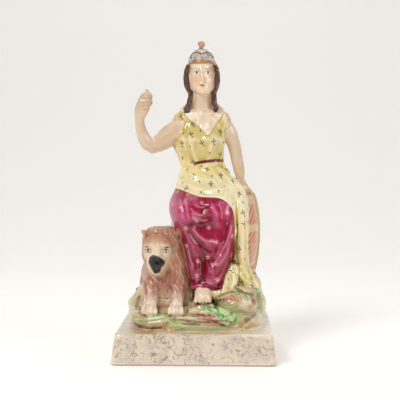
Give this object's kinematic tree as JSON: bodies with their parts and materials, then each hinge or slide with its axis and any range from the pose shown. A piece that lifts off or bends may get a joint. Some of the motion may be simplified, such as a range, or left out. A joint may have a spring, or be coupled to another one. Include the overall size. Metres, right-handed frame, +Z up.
{
  "type": "glazed earthenware figure of a seated woman with a lion and shield",
  "caption": "Press-moulded earthenware figure: helmeted woman seated on a rock, one arm raised, a lion at her knee and a shield at her side, on a square plinth.",
  "frame": {"origin": "middle of the plinth's underside", "axes": "+Z up, the figure faces -Y, +X to the viewer's right"},
  "size_m": [0.1806, 0.1806, 0.3599],
  "materials": {
    "enamelled_earthenware": "glossy lead glaze over overglaze enamels"
  },
  "bodies": {
    "root": {"seated_figure_with_lion": "enamelled_earthenware"}
  },
  "joints": []
}
